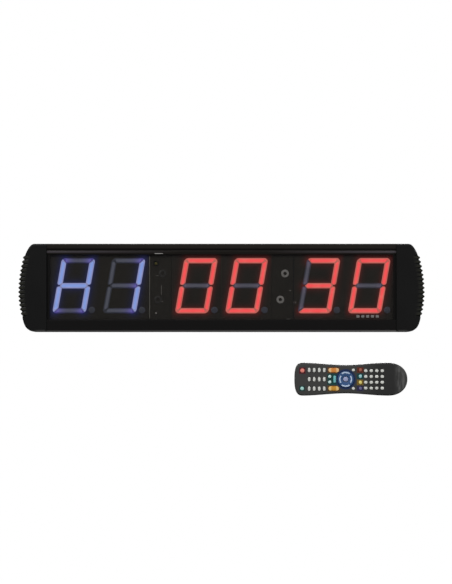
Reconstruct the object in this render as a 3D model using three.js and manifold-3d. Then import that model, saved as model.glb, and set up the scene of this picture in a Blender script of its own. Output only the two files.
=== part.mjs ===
// A wall-mounted gym round timer with six big seven-segment digits, and its hand-held remote.
// Millimetres. +Z is up, +X is to the right as one faces the display, and the display looks along -Y.
// The origin is the middle of the rear panel's flat back, which lies on the wall.

import * as THREE from 'three';
import { mergeVertices } from 'three/addons/utils/BufferGeometryUtils.js';
import Module from 'manifold-3d';

const wasm = await Module();
wasm.setup();

// Driving dimensions of the timer
const halfHeight = 79.5;
const railEndX = 315;
const capEndX = 366;
const capFrontY = -45;
const capBackY = -0.5;
const railFrontY = -43.5;
const railBackY = -2.6;
const railWall = 2.2;
const windowTop = 60;
const windowBottom = -57;
const lensThickness = 3;
const lensFrontY = -39.5;
const panelThickness = 2.2;
const gap = 0.3;

// Digits and the displays that carry them
const digitHeight = 100.6;
const digitWidth = 61;
const digitSlant = 0.177;
const strokeWidth = 9.6;
const segmentGap = 1.1;
const digitRise = 2.8;
const digitPitch = 90.5;
const pairCentreX = 221;
const colonCentreX = 110.3;
const colonWidth = 39;
const displayFrontY = -35.6;
const displayBackY = -22;
const recessDepth = 1.5;
const windowMiddle = (windowTop + windowBottom) / 2;

// Circuit boards
const boardThickness = 1.6;
const displayBoardBackY = -20;
const controlBoardBackY = -15.4;
const controlBoard = { x0: 190, x1: 302, z0: -60, z1: 12 };

// Screws
const screwShank = 1.5;
const screwHead = 3;
const railBoss = { y: -29, z: 73.3, half: 4, bore: 1.8 };
const wellRadius = 4.2;
const wellWall = 1.6;
const wellFloorX = 321;
const panelScrew = { x: 290, z: 73.8 };

// Keyholes in the rear panel
const keyhole = { x: 200, z: 44, head: 5.5, slot: 2.8, rise: 13 };

// Power jack, which points down through the bottom rail
const jack = { x: 270, y: -9.9, body: 4.6, socket: 3.2, pin: 1.05, top: -57, mouth: -79.3 };

// Driving dimensions of the remote
const remoteCentre = new THREE.Vector3(234, 0, -165);
const remoteHalfLength = 102;
const remoteHalfHeight = 29.7;
const remoteHalfWaist = 25.6;
const remoteWaistX = -10;
const remoteFrontY = -22.5;
const remoteSeamY = -13.5;
const remoteWall = 2;
const remoteEdge = 3;
const coverStartX = 28;
const coverThickness = 2.7;
const keyFrontY = -24;
const keyBackY = -18;
const keyClearance = 0.35;
const keyRounding = 0.44;
const keyBoard = { front: -15.8, back: -14.6 };
const emitter = { y: -18.3, radius: 2.2, tip: 1.6, clearance: 0.4 };
const cell = { radius: 5.25, length: 43.5, x: 55, y: -8.5, pitch: 11.4 };

// Materials
function material(color, roughness, metalness) {
  return new THREE.MeshStandardMaterial({ color, roughness, metalness });
}

const blackAluminium = material(0x1f1c1b, 0.45, 0.6);
const blackPlastic = material(0x161616, 0.6, 0);
const smokedAcrylic = material(0x25252a, 0.08, 0);
const displayFace = material(0x1d1d1b, 0.7, 0);
const greenBoard = material(0x1f5a35, 0.5, 0);
const steel = material(0x8c8f92, 0.35, 1);
const darkSteel = material(0x232323, 0.4, 1);
const nickel = material(0xc8c8c4, 0.25, 1);
const shellPlastic = material(0x3a3a3b, 0.55, 0);
const rubberWhite = material(0xd7d7d2, 0.6, 0);
const cellJacket = material(0x2b3a4a, 0.35, 0.2);
const greyCable = material(0x9a9a9a, 0.6, 0);
const clearLamp = material(0x5b5470, 0.15, 0);

// Booleans: a closed geometry becomes a solid, and a solid becomes a geometry again
function toSolid(geometry) {
  geometry.deleteAttribute('normal');
  geometry.deleteAttribute('uv');
  const merged = mergeVertices(geometry, 1e-4);
  const vertProperties = new Float32Array(merged.attributes.position.array);
  const triVerts = new Uint32Array(merged.index.array);
  return new wasm.Manifold(new wasm.Mesh({ numProp: 3, vertProperties, triVerts }));
}

function toGeometry(solid) {
  const { vertProperties, triVerts } = solid.getMesh();
  const geometry = new THREE.BufferGeometry();
  geometry.setAttribute('position', new THREE.BufferAttribute(new Float32Array(vertProperties), 3));
  geometry.setIndex(new THREE.BufferAttribute(new Uint32Array(triVerts), 1));
  geometry.computeVertexNormals();
  return geometry;
}

function joined(solids) {
  return solids.reduce((whole, next) => whole.add(next));
}

function without(solid, cuts) {
  return cuts.reduce((left, cut) => left.subtract(cut), solid);
}

function named(name, solid, look) {
  const mesh = new THREE.Mesh(toGeometry(solid), look);
  mesh.name = name;
  return mesh;
}

function at(mesh, x, y, z) {
  mesh.position.set(x, y, z);
  return mesh;
}

// Basic solids, each given by its limits in X, Y and Z
function block(x0, x1, y0, y1, z0, z1) {
  const geometry = new THREE.BoxGeometry(x1 - x0, y1 - y0, z1 - z0);
  geometry.translate((x0 + x1) / 2, (y0 + y1) / 2, (z0 + z1) / 2);
  return toSolid(geometry);
}

// A shape drawn in X and Z, carried from the front Y to the back Y
function prismY(shape, frontY, backY, edge = 0) {
  const depth = backY - frontY - 2 * edge;
  const geometry = new THREE.ExtrudeGeometry(shape, {
    depth,
    curveSegments: 1,
    bevelEnabled: edge > 0,
    bevelThickness: edge,
    bevelSize: edge,
    bevelOffset: -edge,
    bevelSegments: edge > 1 ? 2 : 1,
  });
  geometry.rotateX(Math.PI / 2);
  geometry.translate(0, backY - edge, 0);
  return toSolid(geometry);
}

// A shape drawn in Y and Z, carried along X
function prismX(shape, x0, x1) {
  const geometry = new THREE.ExtrudeGeometry(shape, { depth: x1 - x0, bevelEnabled: false });
  const turn = new THREE.Matrix4().makeBasis(
    new THREE.Vector3(0, 1, 0),
    new THREE.Vector3(0, 0, 1),
    new THREE.Vector3(1, 0, 0),
  );
  geometry.applyMatrix4(turn);
  geometry.translate(x0, 0, 0);
  return toSolid(geometry);
}

function rodX(radius, x0, x1, y, z, sides = 16) {
  const geometry = new THREE.CylinderGeometry(radius, radius, x1 - x0, sides);
  geometry.rotateZ(Math.PI / 2);
  geometry.translate((x0 + x1) / 2, y, z);
  return toSolid(geometry);
}

function rodY(radius, y0, y1, x, z, sides = 16) {
  const geometry = new THREE.CylinderGeometry(radius, radius, y1 - y0, sides);
  geometry.translate(x, (y0 + y1) / 2, z);
  return toSolid(geometry);
}

// A profile of [radius, height] points turned about the Y axis
function turnedY(profile, sides = 16) {
  const points = profile.map(([radius, height]) => new THREE.Vector2(radius, height));
  return toSolid(new THREE.LatheGeometry(points, sides));
}

function outline(points) {
  return new THREE.Shape(points.map(([a, b]) => new THREE.Vector2(a, b)));
}

function roundedRectangle(width, height, radius, x = 0, z = 0) {
  const shape = new THREE.Shape();
  const left = x - width / 2;
  const right = x + width / 2;
  const low = z - height / 2;
  const high = z + height / 2;
  shape.moveTo(left + radius, low);
  shape.lineTo(right - radius, low);
  shape.absarc(right - radius, low + radius, radius, -Math.PI / 2, 0);
  shape.lineTo(right, high - radius);
  shape.absarc(right - radius, high - radius, radius, 0, Math.PI / 2);
  shape.lineTo(left + radius, high);
  shape.absarc(left + radius, high - radius, radius, Math.PI / 2, Math.PI);
  shape.lineTo(left, low + radius);
  shape.absarc(left + radius, low + radius, radius, Math.PI, Math.PI * 1.5);
  return shape;
}

// Rails: two aluminium extrusions with a slot for the lens, a slot for the boards and a screw boss.
// Written for the top rail; side is -1 for the bottom rail, whose window edge sits a little nearer.
function railSection(side) {
  const windowEdge = side > 0 ? windowTop : -windowBottom;
  const inside = halfHeight - railWall;
  const slotDepth = windowEdge + 5.2;
  const ribTip = windowEdge + 2;
  const flangeFrontY = railBackY - railWall;
  const flangeEdge = 70;
  const topFace = [
    [railFrontY, halfHeight - 10],
    [railFrontY + 1.5, halfHeight - 10],
    [railFrontY + 1.5, windowEdge + 6.8],
    [railFrontY + 0.5, windowEdge + 6.2],
    [railFrontY + 2.9, windowEdge + 0.6],
  ];
  const bottomFace = [
    [railFrontY, halfHeight - 4.8],
    [railFrontY, windowEdge + 1.2],
    [railFrontY + 1.2, windowEdge],
  ];
  const outerCorner = side > 0 ? [[railFrontY + 1, halfHeight], [railFrontY, halfHeight - 1]]
    : [[railFrontY + 4.2, halfHeight]];
  const points = [
    [railBackY, flangeEdge],
    [railBackY, halfHeight],
    ...outerCorner,
    ...(side > 0 ? topFace : bottomFace),
    [lensFrontY - gap, windowEdge],
    [lensFrontY - gap, slotDepth],
    [lensFrontY + lensThickness + gap, slotDepth],
    [lensFrontY + lensThickness + gap, ribTip],
    [-34.8, ribTip],
    [-34.8, inside],
    [-23.4, inside],
    [-23.4, ribTip + 2],
    [-21.9, ribTip + 2],
    [-21.9, slotDepth + 2],
    [-19.7, slotDepth + 2],
    [-19.7, ribTip + 2],
    [-18.2, ribTip + 2],
    [-18.2, inside],
    [flangeFrontY, inside],
    [flangeFrontY, flangeEdge],
  ];
  return outline(points.map(([y, z]) => [y, z * side]));
}

function rail(side) {
  const { y, z, half, bore } = railBoss;
  const inside = halfHeight - railWall;
  const wall = prismX(railSection(side), -railEndX, railEndX);
  const low = side > 0 ? z - half : -inside - 0.1;
  const high = side > 0 ? inside + 0.1 : half - z;
  const boss = block(-railEndX, railEndX, y - half, y + half, low, high);
  const channel = rodX(bore, -railEndX - 1, railEndX + 1, y, z * side, 10);
  const panelHoles = [-1, 1].map((end) => rodY(
    bore, railBackY - railWall - 1, railBackY + 1, end * panelScrew.x, side * panelScrew.z, 12,
  ));
  const jackHole = turnedZ([[0, -halfHeight - 1], [jack.body + gap, -halfHeight - 1],
    [jack.body + gap, -halfHeight + 4], [0, -halfHeight + 4]], jack.x, jack.y);
  const cuts = side > 0 ? panelHoles : [...panelHoles, jackHole];
  return without(wall.add(boss).subtract(channel), cuts);
}

// A profile of [radius, z] points turned about an upright axis at x, y
function turnedZ(profile, x, y, sides = 16) {
  const points = profile.map(([radius, z]) => new THREE.Vector2(radius, z));
  const geometry = new THREE.LatheGeometry(points, sides);
  geometry.rotateX(Math.PI / 2);
  geometry.translate(x, y, 0);
  return toSolid(geometry);
}

// End caps: a moulded shell, open towards the rails, with a barrel-shaped side of 14 ribs
const ribCount = 14;
const ribPitch = 7.8;
const ribHeight = 3;
const firstRibZ = 55;
const bulgeZ = -8;

function bulgeX(z) {
  const fall = z > bulgeZ ? 0.00219 : 0.0031;
  return capEndX - fall * (z - bulgeZ) ** 2;
}

function ribPoints() {
  const points = [];
  for (let i = 0; i < ribCount; i += 1) {
    const z = firstRibZ - i * ribPitch;
    const valley = z - ribPitch / 2;
    points.push([bulgeX(z), z + 1]);
    points.push([bulgeX(z), z - 1]);
    if (i < ribCount - 1) points.push([bulgeX(valley) - ribHeight, valley]);
  }
  return points;
}

function capOutline(inset, withRibs) {
  const side = withRibs ? ribPoints() : [[bulgeX(50) - ribHeight - inset, 50],
    [bulgeX(20) - ribHeight - inset, 20], [bulgeX(bulgeZ) - ribHeight - inset, bulgeZ],
    [bulgeX(-40) - ribHeight - inset, -40]];
  return outline([
    [railEndX + gap - inset, halfHeight - inset],
    [339 - inset, halfHeight - inset],
    [344.5 - inset, halfHeight - 2.5 - inset],
    [351.5 - inset, 64 - inset / 2],
    ...side,
    [357 - inset, -58],
    [354.5 - inset, -67 + inset / 2],
    [349.5 - inset, -73.5 + inset],
    [340 - inset, -77.5 + inset],
    [332 - inset, -halfHeight + inset],
    [railEndX + gap - inset, -halfHeight + inset],
  ]);
}

function rightCap() {
  const { y, z } = railBoss;
  const shell = prismY(capOutline(0, true), capFrontY, capBackY);
  const hollow = prismY(capOutline(3, false), capFrontY + 3, capBackY - 3);
  const slope = prismX(outline([
    [capFrontY - 1, -halfHeight + 4.8],
    [capFrontY + 5.8, -halfHeight - 2],
    [capFrontY - 1, -halfHeight - 2],
  ]), railEndX - 1, capEndX + 1);
  const open = shell.subtract(hollow).subtract(slope);
  const wells = [];
  const bores = [];
  for (const side of [1, -1]) {
    wells.push(rodX(wellRadius + wellWall, wellFloorX - 2, capEndX, y, z * side));
    bores.push(rodX(wellRadius, wellFloorX, capEndX + 1, y, z * side));
    bores.push(rodX(railBoss.bore, railEndX - 1, wellFloorX + 1, y, z * side, 12));
  }
  const insideCap = prismY(capOutline(0.01, true), capFrontY, capBackY);
  const trimmedWells = joined(wells).intersect(insideCap);
  return without(open.add(trimmedWells), bores);
}

function mirroredX(solid) {
  const geometry = toGeometry(solid);
  geometry.scale(-1, 1, 1);
  const corners = geometry.index.array;
  for (let i = 0; i < corners.length; i += 3) [corners[i], corners[i + 1]] = [corners[i + 1], corners[i]];
  return toSolid(geometry);
}

// Cross-head screw with its head at the origin, looking along +Y, and its shank running along -Y
function crossScrew(length, headHeight, countersunk) {
  const rim = countersunk ? 0.4 : headHeight;
  const body = turnedY([
    [0, -length],
    [screwShank * 0.6, -length],
    [screwShank, -length + 1.2],
    [screwShank, -headHeight],
    [screwHead, -rim],
    [screwHead, -0.1],
    [screwHead - 0.3, 0],
    [0, 0],
  ], 12);
  const arm = 1.9;
  const blade = 0.35;
  const depth = 1.1;
  const slots = [
    block(-arm, arm, -depth, 1, -blade, blade),
    block(-blade, blade, -depth, 1, -arm, arm),
  ];
  return without(body, slots);
}

// Rear panel: a flat sheet with two keyholes and four countersunk screw holes
function rearPanel() {
  const { x, z, head, slot, rise } = keyhole;
  const cuts = [];
  for (const side of [-1, 1]) {
    cuts.push(rodY(head, -panelThickness - 1, 1, side * x, z, 20));
    cuts.push(rodY(slot, -panelThickness - 1, 1, side * x, z + rise, 16));
    cuts.push(block(side * x - slot, side * x + slot, -panelThickness - 1, 1, z, z + rise));
    for (const end of [-1, 1]) {
      const sink = turnedY([[0, -panelThickness - 1], [railBoss.bore, -panelThickness - 1],
        [railBoss.bore, -1.9], [screwHead + gap, -0.5], [screwHead + gap, 1], [0, 1]], 12);
      cuts.push(sink.translate([side * panelScrew.x, 0, end * panelScrew.z]));
    }
  }
  const edge = halfHeight - 0.3;
  return without(block(-railEndX + 1, railEndX - 1, -panelThickness, 0, -edge, edge), cuts);
}

// Seven-segment outlines about the digit's middle, leaning to the right by digitSlant
function segmentShapes() {
  const s = strokeWidth / 2;
  const w = digitWidth / 2 - s;
  const h = digitHeight / 2 - s;
  const g = segmentGap / 2;
  const bar = (z) => [[-w + 2 * g, z], [-w + s + g, z + s], [w - s - g, z + s], [w - 2 * g, z],
    [w - s - g, z - s], [-w + s + g, z - s]];
  const cap = (side) => [[-w - s + 3 * g, side * (h + s)], [w + s - 3 * g, side * (h + s)],
    [w - s - g, side * (h - s)], [-w + s + g, side * (h - s)]];
  const upright = (left, up) => [[left * (w + s), up * g], [left * w, up * 2 * g],
    [left * (w - s), up * (s + g)], [left * (w - s), up * (h - s - g)],
    [left * (w + s), up * (h + s - 3 * g)]];
  const outlines = [cap(1), cap(-1), bar(0)];
  for (const left of [-1, 1]) {
    for (const up of [-1, 1]) outlines.push(upright(left, up));
  }
  return outlines.map((points) => outline(points.map(([x, z]) => [x + digitSlant * z, z])));
}

// A display is a potted block with shallow recesses for its segments and its dot
function digitDisplay() {
  const half = digitPitch / 2 - gap / 2;
  const low = windowBottom - 1 - windowMiddle;
  const body = block(-half, half, displayFrontY, displayBackY, low, -low);
  const recessBackY = displayFrontY + recessDepth;
  const recesses = segmentShapes().map((shape) => prismY(shape, displayFrontY - 1, recessBackY)
    .translate([0, 0, digitRise]));
  const dot = rodY(6.1, displayFrontY - 1, recessBackY, 32.3, -41.3, 16);
  return without(body, [...recesses, dot]);
}

const lampPlaces = [[4.2, 26], [-4.2, -21]];
const receiverPlace = { x: -7.7, z: 42.5 };

function colonDisplay(hasReceiver) {
  const half = colonWidth / 2;
  const low = windowBottom - 1 - windowMiddle;
  const body = block(-half, half, displayFrontY, displayBackY, low, -low);
  const cuts = lampPlaces.map(([x, z]) => rodY(7, displayFrontY - 1, displayFrontY + recessDepth,
    x, z - windowMiddle, 20));
  if (hasReceiver) {
    cuts.push(rodY(4.8, displayFrontY - 1, displayBackY + 1, receiverPlace.x, receiverPlace.z, 16));
  }
  return without(body, cuts);
}

function infraredReceiver() {
  const body = block(-3, 3, -31, displayBackY - gap, -3.2, 3.2);
  const dome = turnedY([[0, -34.6], [1.2, -34.2], [2.2, -33.2], [2.6, -32], [2.6, -30], [0, -30]], 14);
  return body.add(dome);
}

function displayBoard(x0, x1) {
  return block(x0, x1, displayBoardBackY - boardThickness, displayBoardBackY, -60, 63);
}

// Control board: the bare board, its pillars to the display board, and what is soldered to it
function controlBoardSolid() {
  const { x0, x1, z0, z1 } = controlBoard;
  const back = controlBoardBackY;
  const front = back - boardThickness;
  const solids = [block(x0, x1, front, back, z0, z1)];
  for (const x of [x0 + 5, x1 - 5]) {
    for (const z of [z0 + 6, z1 - 5]) {
      solids.push(rodY(2.5, displayBoardBackY + gap, front + 0.5, x, z, 8));
    }
  }
  solids.push(block(x0 + 44, x0 + 58, back - 0.5, back + 2, -12, 2));
  solids.push(block(x0 + 2, x0 + 9, back - 0.5, back + 6, -48, -22));
  for (const x of [x0 + 66, x0 + 80]) solids.push(rodY(4, back - 0.5, back + 10, x, 3, 14));
  for (let i = 0; i < 6; i += 1) {
    const z = -10 - i * 5;
    solids.push(block(x0 + 92, x0 + 98, back - 0.5, back + 1.8, z - 1.6, z + 1.6));
  }
  return joined(solids);
}

function buzzer() {
  const front = controlBoardBackY + gap;
  const tall = 9;
  return turnedY([[0, front], [14, front], [15, front + 0.8], [15, front + tall - 1],
    [14, front + tall], [2, front + tall], [2, front + tall - 3], [0, front + tall - 3]], 24);
}

function backupCell() {
  const front = controlBoardBackY + gap;
  return turnedY([[0, front], [8.6, front], [8.6, front + 0.6], [10, front + 0.7],
    [10, front + 3], [9.8, front + 3.2], [0, front + 3.2]], 20);
}

function powerJack() {
  const { x, y, body, socket, pin, top, mouth } = jack;
  const floor = mouth + 10;
  const collar = turnedZ([[0, mouth + 1.5], [pin * 0.6, mouth + 1.2], [pin, mouth + 2], [pin, floor],
    [socket, floor], [socket, mouth + 0.4], [socket + 0.4, mouth], [body - 0.2, mouth],
    [body, mouth + 0.3], [body, top], [0, top]], x, y, 20);
  return collar;
}

// Flat ribbon cable from the control board's header to the middle display board
function ribbonCable() {
  const thickness = 1;
  const nearX = controlBoard.x0 - gap;
  const farX = 104;
  const highY = controlBoardBackY - 0.2;
  const lowY = displayBoardBackY + gap + thickness;
  const points = [[nearX, highY], [nearX - 22, highY], [farX + 14, lowY], [farX, lowY]];
  const upper = points.map(([x, y]) => [x, -y]);
  const lower = points.map(([x, y]) => [x, -y + thickness]).reverse();
  const geometry = new THREE.ExtrudeGeometry(outline([...upper, ...lower]), {
    depth: 16,
    bevelEnabled: false,
  });
  geometry.rotateX(Math.PI);
  geometry.translate(0, 0, -26);
  return toSolid(geometry);
}

// Remote: its outline is widest near both ends, waisted between, flat-ended left, round-ended right
function remoteHalfAt(x) {
  const reach = x < remoteWaistX ? remoteWaistX + 88 : 68 - remoteWaistX;
  const t = Math.min(1, Math.abs(x - remoteWaistX) / reach);
  const ease = t * t * (3 - 2 * t);
  return remoteHalfWaist + (remoteHalfHeight - remoteHalfWaist) * ease;
}

function remoteOutline(inset) {
  const half = remoteHalfLength - inset;
  const leftRound = 17 - inset;
  const rightRound = 36 - inset;
  const steps = 26;
  const upper = [];
  for (let i = 0; i <= steps; i += 1) {
    const x = -half * Math.cos(Math.PI * i / steps);
    const left = Math.max(0, (-x - (half - leftRound)) / leftRound);
    const right = Math.max(0, (x - (half - rightRound)) / rightRound);
    const closing = Math.max(0, 1 - left ** 3.4) ** (1 / 2.6) * Math.max(0, 1 - right ** 2.3) ** (1 / 2.1);
    upper.push([x, (remoteHalfAt(x) - inset) * closing]);
  }
  const lower = upper.slice(1, -1).reverse().map(([x, z]) => [x, -z]);
  return outline([...upper, ...lower].reverse());
}

const remoteBlank = prismY(remoteOutline(0), remoteFrontY, 0, remoteEdge);
const plateBackY = remoteFrontY + 1.8;

// Keys: places and sizes from the remote's centre. Those that share a strip are one silicone piece.
const whiteKeys = { left: { w: 4.6, h: 8 }, right: { w: 6, h: 5.4 } };
const stripColumns = {
  left: [-75.6, -66.5, -57.4, -48.4],
  right: [26.6, 36.5, 46.4, 56.4],
};
const stripRows = {
  left: [['number_keys_top', 16.6], ['number_keys_middle', 0], ['number_keys_bottom', -17]],
  right: [['menu_keys_top', 15.4], ['menu_keys_upper', 4.9], ['menu_keys_lower', -5.5],
    ['menu_keys_bottom', -16]],
};
const singleKeys = [
  { name: 'power_key', x: -88, z: 15.7, w: 7.4, h: 7.4, color: 0xd0342e },
  { name: 'green_key', x: -88.5, z: -16.6, w: 6.6, h: 6.6, color: 0x2f9e78 },
  { name: 'orange_rocker', x: -31.4, z: 16.3, w: 19, h: 8, color: 0xf0a050 },
  { name: 'amber_rocker', x: -31.4, z: -16.7, w: 19, h: 8, color: 0xf2b656 },
  { name: 'teal_key_upper', x: -38.5, z: 5, w: 5.6, h: 5.6, color: 0x7fdedb },
  { name: 'teal_key_lower', x: -38.5, z: -5, w: 5.6, h: 5.6, color: 0x7fdedb },
  { name: 'teal_bar_key', x: -29.6, z: 0, w: 4.6, h: 13, color: 0x7fdedb },
  { name: 'white_key_upper', x: 4.2, z: 16.7, w: 5.6, h: 5, color: 0xd7d7d2 },
  { name: 'white_key_lower', x: 4.2, z: -16.7, w: 5.6, h: 5, color: 0xd7d7d2 },
  { name: 'red_key', x: 16.9, z: 16.7, w: 5.4, h: 6.4, color: 0xd6453e },
  { name: 'cyan_key', x: 16.9, z: 5.4, w: 5.4, h: 6.4, color: 0x49b9d8 },
  { name: 'yellow_key', x: 16.9, z: -5.6, w: 5.4, h: 6.4, color: 0xe3c33d },
  { name: 'blue_key', x: 16.9, z: -16.4, w: 5.4, h: 6.4, color: 0x6b6fe0 },
];
const navPlace = { x: -9.7, outer: 14.6, inner: 5.4, key: 4.5 };

function keySolid(w, h, x = 0, z = 0) {
  const radius = keyRounding * Math.min(w, h);
  const shape = roundedRectangle(w, h, radius, x, z);
  return prismY(shape, keyFrontY, keyBackY);
}

function keyHole(w, h, x, z) {
  const radius = keyRounding * Math.min(w, h) + keyClearance;
  const shape = roundedRectangle(w + 2 * keyClearance, h + 2 * keyClearance, radius, x, z);
  return prismY(shape, remoteFrontY - 1, plateBackY + 1);
}

function keyStrip(side, z) {
  const columns = stripColumns[side];
  const { w, h } = whiteKeys[side];
  const keys = columns.map((x) => keySolid(w, h, x, z));
  const webBackY = keyBackY - 0.3;
  const web = block(columns[0], columns[3], webBackY - 1.4, webBackY, z - 1.2, z + 1.2);
  return joined([...keys, web]);
}

function navRing() {
  const { outer, inner } = navPlace;
  return turnedY([[inner, keyBackY], [inner, keyFrontY + 1.2], [inner + 2.5, keyFrontY + 0.7],
    [outer - 1, keyFrontY], [outer, keyFrontY + 1], [outer, keyBackY - 0.6],
    [outer - 0.6, keyBackY], [inner, keyBackY]], 28);
}

function okKey() {
  const { key } = navPlace;
  return turnedY([[0, keyFrontY - 0.3], [key * 0.6, keyFrontY - 0.1], [key - 0.3, keyFrontY + 0.4],
    [key, keyFrontY + 1], [key, keyBackY], [0, keyBackY]], 18);
}

function remoteTopShell() {
  const front = block(-120, 120, remoteFrontY - 1, remoteSeamY - gap, -50, 50);
  const cavity = prismY(remoteOutline(remoteWall), plateBackY, remoteSeamY + 1);
  const cuts = [cavity];
  for (const side of ['left', 'right']) {
    for (const [, z] of stripRows[side]) {
      for (const x of stripColumns[side]) cuts.push(keyHole(whiteKeys[side].w, whiteKeys[side].h, x, z));
    }
  }
  for (const { x, z, w, h } of singleKeys) cuts.push(keyHole(w, h, x, z));
  cuts.push(rodY(navPlace.outer + 0.5, remoteFrontY - 1, plateBackY + 1, navPlace.x, 0, 28));
  cuts.push(rodX(emitter.tip + emitter.clearance, -remoteHalfLength - 1, -remoteHalfLength + 6,
    emitter.y, 0, 16));
  return without(remoteBlank.intersect(front), cuts);
}

const bay = { x0: 30, x1: 80, half: 12 };
const raisedFloor = coverThickness + gap;

function remoteBottomShell() {
  const rear = block(-120, 120, remoteSeamY, 1, -50, 50);
  const floorY = -remoteWall;
  const bayFloorY = -raisedFloor - 1.4;
  const cavityShape = remoteOutline(remoteWall);
  const deep = prismY(cavityShape, remoteSeamY - 1, floorY)
    .intersect(block(-120, coverStartX - 2, remoteSeamY - 1, 1, -50, 50));
  const shallow = prismY(cavityShape, remoteSeamY - 1, bayFloorY)
    .intersect(block(coverStartX - 3, 120, remoteSeamY - 1, 1, -50, 50));
  const coverSpace = block(coverStartX, 120, -raisedFloor, 1, -50, 50);
  const mouth = block(bay.x0, bay.x1, bayFloorY - 1, 1, -bay.half, bay.half);
  return without(remoteBlank.intersect(rear), [deep, shallow, coverSpace, mouth]);
}

function batteryCover() {
  const slab = block(coverStartX + gap, 120, -coverThickness, 1, -50, 50);
  const gripLines = [0, 1, 2, 3].map((i) => block(72 + i * 4, 73.6 + i * 4, -0.6, 1, -9, 9));
  return without(remoteBlank.intersect(slab), gripLines);
}

// A dry cell lying along X about its own middle, its nub towards +X
function dryCell() {
  const half = cell.length / 2;
  const body = rodX(cell.radius, -half, half, 0, 0, 18);
  const nub = rodX(1.9, half - 0.5, half + 0.9, 0, 0, 12);
  return body.add(nub);
}

function keyBoardSolid() {
  return prismY(remoteOutline(remoteWall + 1.5), keyBoard.front, keyBoard.back);
}

function infraredEmitter() {
  const wallX = -remoteHalfLength + remoteWall + 0.6;
  const body = rodX(emitter.radius, wallX, wallX + 6.5, emitter.y, 0, 14);
  const dome = rodX(emitter.tip, wallX - 2, wallX + 1, emitter.y, 0, 14);
  return body.add(dome);
}

// The timer
function timer() {
  const group = new THREE.Group();
  group.add(named('top_rail', rail(1), blackAluminium));
  group.add(named('bottom_rail', rail(-1), blackAluminium));
  group.add(named('rear_panel', rearPanel(), blackAluminium));
  const cap = rightCap();
  group.add(named('end_cap_right', cap, blackPlastic));
  group.add(named('end_cap_left', mirroredX(cap), blackPlastic));
  const lens = block(-railEndX + 0.5, railEndX - 0.5, lensFrontY, lensFrontY + lensThickness,
    windowBottom - 4.8, windowTop + 4.8);
  group.add(named('front_lens', lens, smokedAcrylic));

  const digit = digitDisplay();
  let number = 1;
  for (const pair of [-pairCentreX, 0, pairCentreX]) {
    for (const side of [-1, 1]) {
      const x = pair + side * digitPitch / 2;
      group.add(at(named(`digit_${number}_display`, digit, displayFace), x, 0, windowMiddle));
      number += 1;
    }
  }
  group.add(at(named('colon_left_display', colonDisplay(true), displayFace),
    -colonCentreX, 0, windowMiddle));
  group.add(at(named('colon_right_display', colonDisplay(false), displayFace),
    colonCentreX, 0, windowMiddle));
  group.add(at(named('ir_receiver', infraredReceiver(), clearLamp),
    -colonCentreX + receiverPlace.x, 0, windowMiddle + receiverPlace.z));

  const seam = pairCentreX - digitPitch - 0.3;
  group.add(named('display_board_left', displayBoard(-312, -seam - gap), greenBoard));
  group.add(named('display_board_middle', displayBoard(-seam, seam), greenBoard));
  group.add(named('display_board_right', displayBoard(seam + gap, 312), greenBoard));
  group.add(named('control_board', controlBoardSolid(), greenBoard));
  group.add(at(named('buzzer', buzzer(), blackPlastic), 220, 0, -38));
  group.add(at(named('backup_cell', backupCell(), nickel), 256, 0, -22));
  group.add(named('power_jack', powerJack(), blackPlastic));
  group.add(named('ribbon_cable', ribbonCable(), greyCable));

  const capScrew = crossScrew(15, 2.2, false);
  for (const [sideName, side] of [['left', -1], ['right', 1]]) {
    for (const [levelName, level] of [['top', 1], ['bottom', -1]]) {
      const screw = named(`cap_screw_${sideName}_${levelName}`, capScrew, darkSteel);
      screw.rotation.z = -side * Math.PI / 2;
      group.add(at(screw, side * (wellFloorX + gap + 2.2), railBoss.y, level * railBoss.z));
    }
  }
  const rearScrew = crossScrew(9, 1.7, true);
  for (const [sideName, side] of [['left', -1], ['right', 1]]) {
    for (const [levelName, level] of [['top', 1], ['bottom', -1]]) {
      const screw = named(`rear_screw_${sideName}_${levelName}`, rearScrew, steel);
      group.add(at(screw, side * panelScrew.x, -0.1, level * panelScrew.z));
    }
  }
  return group;
}

// The remote, drawn about its own centre
function remote() {
  const group = new THREE.Group();
  group.position.copy(remoteCentre);
  group.add(named('remote_top_shell', remoteTopShell(), shellPlastic));
  group.add(named('remote_bottom_shell', remoteBottomShell(), shellPlastic));
  group.add(named('battery_cover', batteryCover(), shellPlastic));
  group.add(named('remote_board', keyBoardSolid(), greenBoard));
  group.add(named('ir_emitter', infraredEmitter(), clearLamp));
  for (const [name, side] of [['battery_upper', 1], ['battery_lower', -1]]) {
    const battery = named(name, dryCell(), cellJacket);
    battery.rotation.y = side > 0 ? 0 : Math.PI;
    group.add(at(battery, cell.x, cell.y, side * cell.pitch / 2));
  }
  group.add(at(named('nav_ring', navRing(), material(0x1e4aa8, 0.5, 0)), navPlace.x, 0, 0));
  group.add(at(named('ok_key', okKey(), rubberWhite), navPlace.x, 0, 0));
  for (const { name, x, z, w, h, color } of singleKeys) {
    group.add(at(named(name, keySolid(w, h), material(color, 0.55, 0)), x, 0, z));
  }
  for (const side of ['left', 'right']) {
    for (const [name, z] of stripRows[side]) group.add(named(name, keyStrip(side, z), rubberWhite));
  }
  return group;
}

const gymTimer = new THREE.Group();
gymTimer.add(timer(), remote());

export default gymTimer;
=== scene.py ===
import math

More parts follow.
